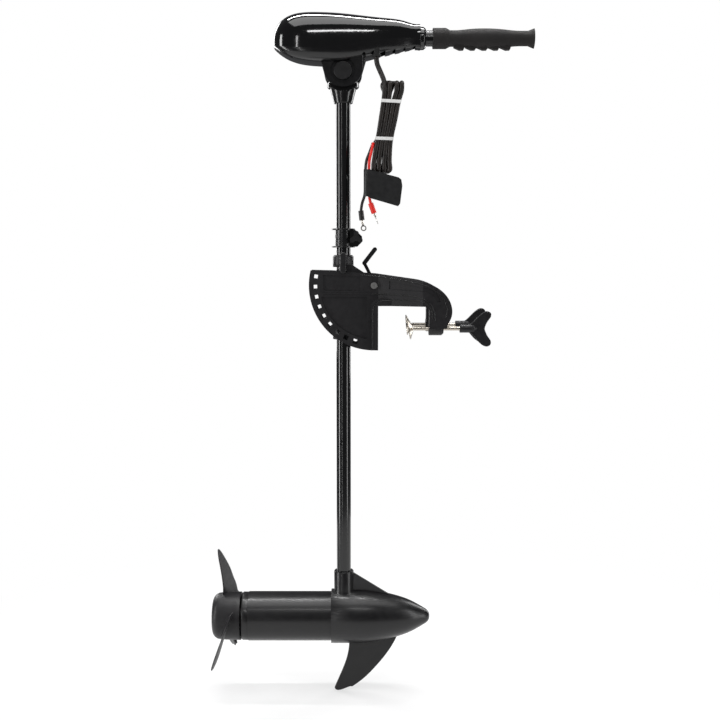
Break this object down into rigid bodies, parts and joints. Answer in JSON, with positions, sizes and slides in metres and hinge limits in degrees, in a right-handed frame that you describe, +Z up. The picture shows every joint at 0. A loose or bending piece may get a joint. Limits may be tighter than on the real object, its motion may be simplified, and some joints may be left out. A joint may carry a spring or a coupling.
{
  "type": "trolling motor",
  "caption": "Transom-mount electric trolling motor: finned motor pod and propeller, long shaft, clamp bracket, tilting head with a twist tiller and a hanging battery lead.",
  "frame": {"origin": "middle of the clamp bracket's jaw face, which bears on the boat's transom, at the height of the clamp screws", "axes": "+Z up along the shaft, +X towards the boat along the motor's nose and the tiller, +Y to port (the tilt bolt's nut side)"},
  "size_m": [0.6245, 0.2382, 1.3317],
  "materials": {
    "cover_gloss": "polished black moulding",
    "black_moulding": "satin black moulding",
    "bracket_moulding": "glass-filled nylon, fine grain",
    "knob_moulding": "satin black moulding",
    "collar_gloss": "semi-gloss black moulding",
    "shaft_gloss": "polished black composite tube",
    "motor_paint": "satin black paint",
    "skeg_moulding": "satin black moulding",
    "prop_moulding": "satin black moulding",
    "grip_rubber": "matte dark grey rubber",
    "nickel": "nickel-plated steel",
    "stainless": "stainless steel",
    "brass": "turned brass",
    "bush_nylon": "natural nylon",
    "bearing_steel": "ground steel",
    "seal_rubber": "nitrile rubber",
    "ferrite": "ferrite magnet",
    "core_steel": "laminated steel",
    "copper": "enamelled and bare copper",
    "brush_moulding": "phenolic moulding",
    "board": "circuit board",
    "switch_moulding": "switch body",
    "gland_rubber": "soft black rubber",
    "lead_jacket": "soft PVC",
    "tie_white": "white twist tie",
    "tag_black": "folded plastic tag",
    "wire_red": "red PVC",
    "wire_black": "black PVC",
    "tinned": "tinned copper"
  },
  "bodies": {
    "bracket": {"bracket_side_near": "bracket_moulding", "bracket_side_far": "bracket_moulding", "cross_plate": "bracket_moulding", "tie_screws": "stainless", "tilt_bolt": "stainless", "tilt_nut": "stainless", "clamp_inserts": "brass"},
    "travel_near": {"pad_rivet_near": "nickel"},
    "travel_far": {"pad_rivet_far": "nickel"},
    "screw_near": {"clamp_rod_near": "nickel", "wing_knob_near": "knob_moulding"},
    "screw_far": {"clamp_rod_far": "nickel", "wing_knob_far": "knob_moulding"},
    "pad_near": {"clamp_pad_near": "nickel"},
    "pad_far": {"clamp_pad_far": "nickel"},
    "column": {"tilt_column": "bracket_moulding", "column_bushes": "bush_nylon"},
    "tension": {"tension_knob": "knob_moulding"},
    "lever": {"lock_lever": "black_moulding"},
    "lock": {"lock_pin": "nickel", "lock_link": "nickel"},
    "collar": {"depth_collar": "collar_gloss"},
    "collar_screw": {"collar_knob": "knob_moulding"},
    "shaft": {"shaft_tube": "shaft_gloss", "yoke": "black_moulding", "nose_housing": "motor_paint", "skeg": "skeg_moulding", "motor_tube": "motor_paint", "end_bell": "motor_paint", "field_magnets": "ferrite", "motor_bearings": "bearing_steel", "shaft_seal": "seal_rubber", "through_bolts": "stainless", "brush_holder": "brush_moulding"},
    "rotor": {"motor_shaft": "stainless", "armature_core": "core_steel", "windings": "copper", "commutator": "copper", "drive_pin": "stainless", "prop_nut": "prop_moulding", "propeller": "prop_moulding"},
    "head": {"head_base": "black_moulding", "head_cover": "cover_gloss", "head_screws": "stainless", "pivot_caps": "black_moulding", "pivot_pin": "stainless", "control_board": "board", "neck_ring": "black_moulding", "lead_gland": "gland_rubber", "lead_cord": "lead_jacket", "lead_hank": "lead_jacket", "hank_ties": "tie_white", "lead_tag": "tag_black", "red_tail": "wire_red", "black_tail": "wire_black", "ring_terminals": "tinned"},
    "tiller": {"tiller_tube": "black_moulding", "speed_switch": "switch_moulding"},
    "twist": {"grip": "grip_rubber", "drive_rod": "stainless"}
  },
  "joints": [
    {"name": "travel_near", "type": "slide", "parent": "bracket", "child": "travel_near", "axis": [1, 0, 0], "range_m": [-0.0301, 0.0276]},
    {"name": "screw_near", "type": "hinge", "parent": "travel_near", "child": "screw_near", "pos_m": [0.1, -0.05, 0], "axis": [1, 0, 0], "range_deg": [-8640, 7920]},
    {"name": "pad_near", "type": "hinge", "parent": "travel_near", "child": "pad_near", "pos_m": [0.0626, -0.05, 0], "axis": [0, 1, 0], "range_deg": [-1, 19]},
    {"name": "travel_far", "type": "slide", "parent": "bracket", "child": "travel_far", "axis": [1, 0, 0], "range_m": [-0.0301, 0.0276]},
    {"name": "screw_far", "type": "hinge", "parent": "travel_far", "child": "screw_far", "pos_m": [0.1, 0.05, 0], "axis": [1, 0, 0], "range_deg": [-8640, 7920]},
    {"name": "pad_far", "type": "hinge", "parent": "travel_far", "child": "pad_far", "pos_m": [0.0626, 0.05, 0], "axis": [0, 1, 0], "range_deg": [-5, 15]},
    {"name": "tilt", "type": "hinge", "parent": "bracket", "child": "column", "pos_m": [-0.008, 0, 0.081], "axis": [0, 1, 0], "range_deg": [0, 80]},
    {"name": "tension_knob_turn", "type": "hinge", "parent": "column", "child": "tension", "pos_m": [-0.067, -0.02, 0.1245], "axis": [0, 1, 0], "range_deg": [-180, 180]},
    {"name": "lock_lever_swing", "type": "hinge", "parent": "column", "child": "lever", "pos_m": [-0.012, 0, 0.095], "axis": [0, -1, 0], "range_deg": [0, 21.7]},
    {"name": "lock_pin_slide", "type": "slide", "parent": "column", "child": "lock", "axis": [-0.3157, 0, -0.9489], "range_m": [0, 0.0107]},
    {"name": "steer", "type": "hinge", "parent": "column", "child": "collar", "pos_m": [-0.067, 0, 0.17], "axis": [0, 0, 1], "range_deg": [-180, 180]},
    {"name": "collar_knob_turn", "type": "hinge", "parent": "collar", "child": "collar_screw", "pos_m": [-0.042, 0, 0.172], "axis": [0, 1, 0], "range_deg": [-180, 180]},
    {"name": "depth_slide", "type": "slide", "parent": "collar", "child": "shaft", "axis": [0, 0, 1], "range_m": [-0.025, 0.42]},
    {"name": "propeller_spin", "type": "hinge", "parent": "shaft", "child": "rotor", "pos_m": [-0.2, 0, -0.582], "axis": [1, 0, 0], "continuous": true},
    {"name": "head_tilt", "type": "hinge", "parent": "shaft", "child": "head", "pos_m": [-0.067, 0, 0.485], "axis": [0, -1, 0], "range_deg": [0, 30]},
    {"name": "tiller_telescope", "type": "slide", "parent": "head", "child": "tiller", "axis": [1, 0, 0], "range_m": [0, 0.15]},
    {"name": "throttle_twist", "type": "hinge", "parent": "tiller", "child": "twist", "pos_m": [0.1, 0, 0.5485], "axis": [1, 0, 0], "range_deg": [-60, 100]}
  ],
  "couplings": [
    {"joint": "travel_near", "follows": "screw_near", "m_per_rad": 0.00019894},
    {"joint": "travel_far", "follows": "screw_far", "m_per_rad": 0.00019894},
    {"joint": "lock_pin_slide", "follows": "lock_lever_swing", "m_per_rad": 0.02825}
  ]
}
